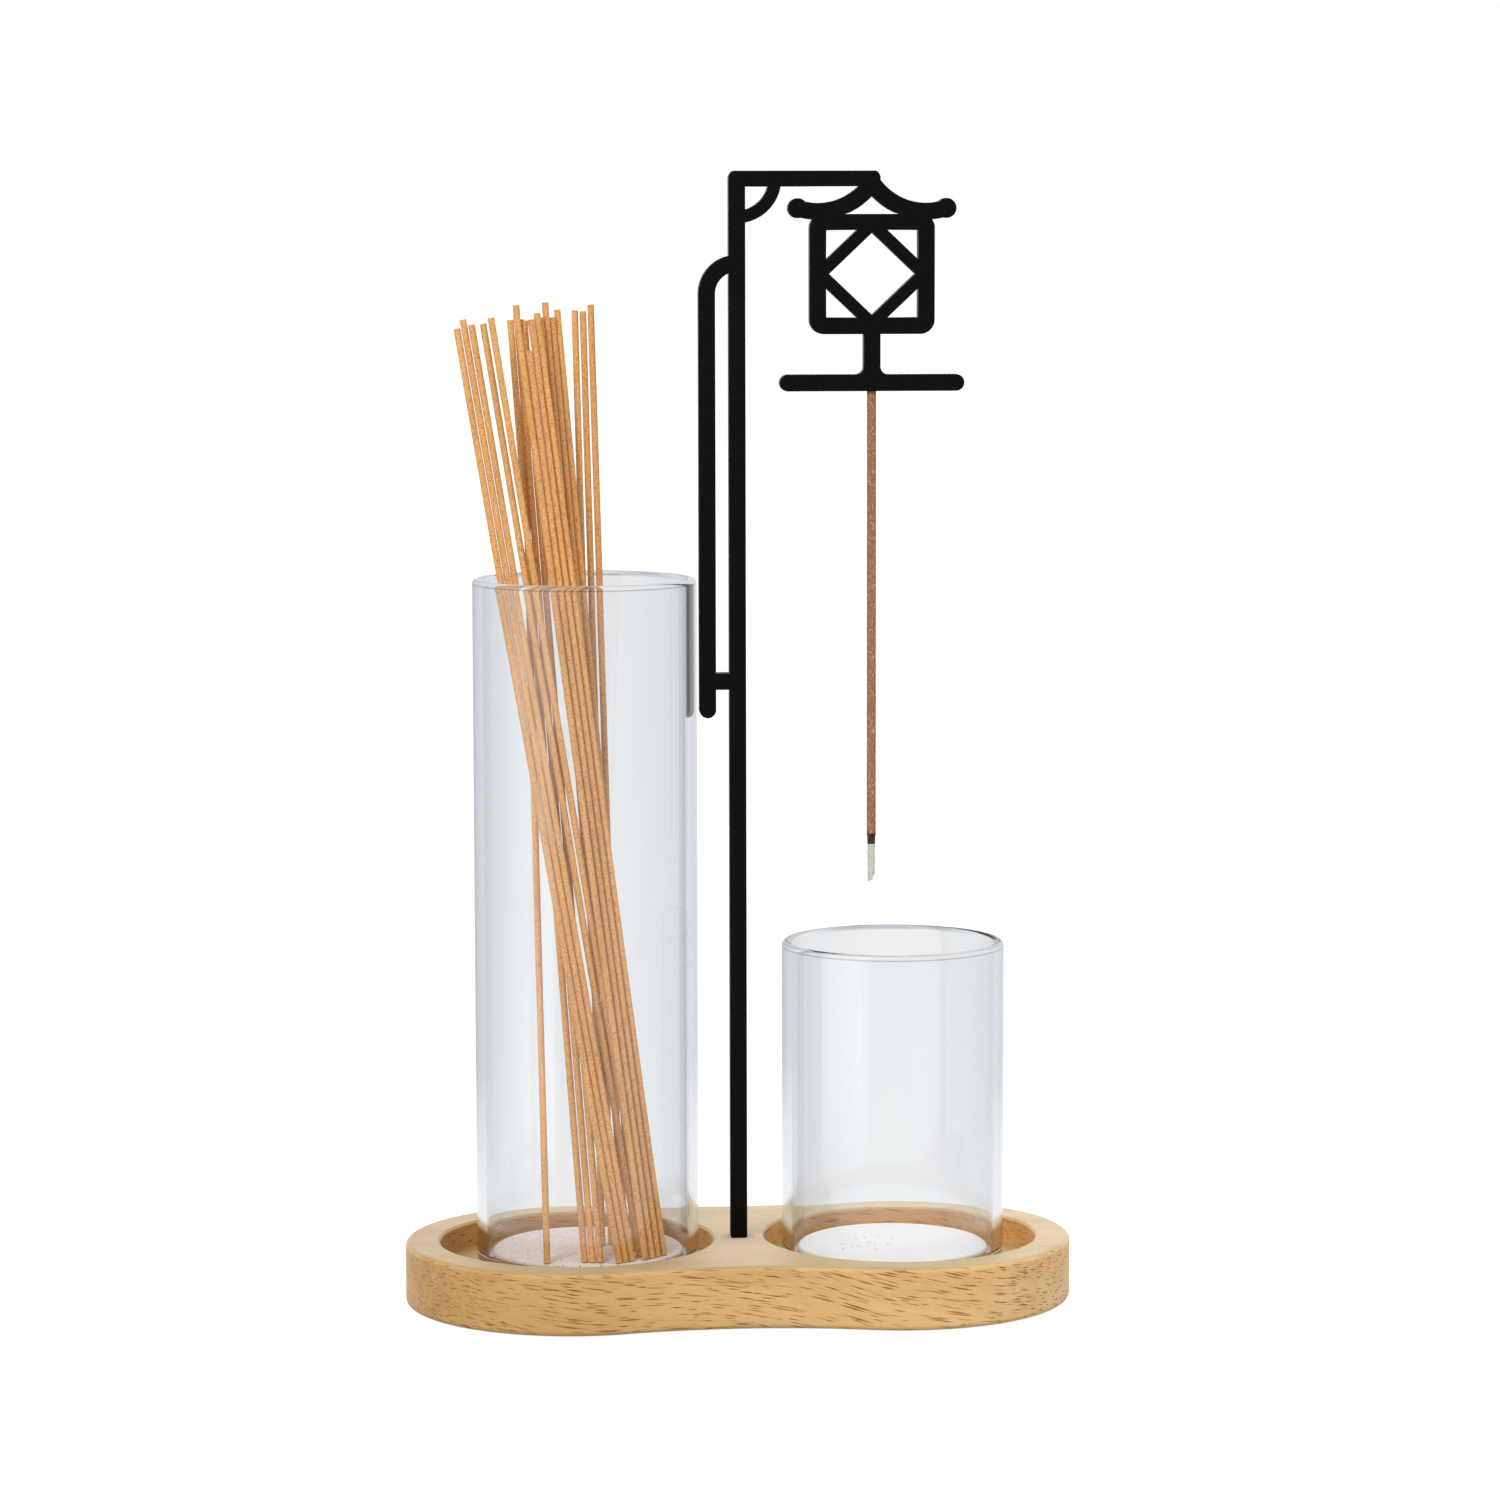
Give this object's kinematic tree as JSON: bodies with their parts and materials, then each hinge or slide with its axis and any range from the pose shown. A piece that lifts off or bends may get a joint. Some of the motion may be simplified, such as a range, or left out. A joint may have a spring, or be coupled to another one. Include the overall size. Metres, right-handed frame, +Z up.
{
  "type": "incense burner",
  "caption": "Hanging-stick incense burner: waisted wooden tray, tall glass storing spare sticks, short ash glass, and a flat black steel stand whose lantern head holds a stick point down.",
  "frame": {"origin": "centre of the tray's flat underside, on the table", "axes": "+Z up; +X along the tray from the storage glass to the ash glass; -Y is the side the lantern is seen from, with the arm reaching right"},
  "size_m": [0.15, 0.077, 0.253],
  "materials": {
    "tray_wood": "pale rubberwood, thin matt oil, fine open pores",
    "clear_glass": "clear borosilicate, fire-polished rim",
    "white_felt": "white fire-resistant felt",
    "black_steel": "matt black powder coat",
    "red_incense": "dry pressed powder, reddish brown",
    "char": "charred, matt",
    "ash": "pale grey ash",
    "tan_incense": "dry pressed powder, tan"
  },
  "bodies": {
    "tray": {"tray": "tray_wood"},
    "storage_glass": {"storage_glass": "clear_glass", "storage_pad": "white_felt"},
    "ash_glass": {"ash_glass": "clear_glass", "ash_pad": "white_felt"},
    "stand": {"stand": "black_steel"},
    "hanging_stick": {"hanging_stick": "red_incense", "charred_end": "char", "ash_tip": "ash"},
    "stored_sticks": {"stick_01": "tan_incense", "stick_02": "tan_incense", "stick_03": "tan_incense", "stick_04": "tan_incense", "stick_05": "tan_incense", "stick_06": "tan_incense", "stick_07": "tan_incense", "stick_08": "tan_incense", "stick_09": "tan_incense", "stick_10": "tan_incense", "stick_11": "tan_incense", "stick_12": "tan_incense", "stick_13": "tan_incense", "stick_14": "tan_incense", "stick_15": "tan_incense", "stick_16": "tan_incense", "stick_17": "tan_incense", "stick_18": "tan_incense", "stick_19": "tan_incense", "stick_20": "tan_incense"}
  },
  "joints": [
    {"name": "storage_glass_lift", "type": "slide", "parent": "tray", "child": "storage_glass", "axis": [0, 0, 1], "range_m": [0, 0.02]},
    {"name": "ash_glass_lift", "type": "slide", "parent": "tray", "child": "ash_glass", "axis": [0, 0, 1], "range_m": [0, 0.012]},
    {"name": "stand_lift", "type": "slide", "parent": "tray", "child": "stand", "axis": [0, 0, 1], "range_m": [0, 0.012]},
    {"name": "hanging_stick_pull", "type": "slide", "parent": "stand", "child": "hanging_stick", "axis": [0, 0, -1], "range_m": [0, 0.009]},
    {"name": "stored_sticks_lift", "type": "slide", "parent": "storage_glass", "child": "stored_sticks", "axis": [0, 0, 1], "range_m": [0, 0.155]}
  ]
}
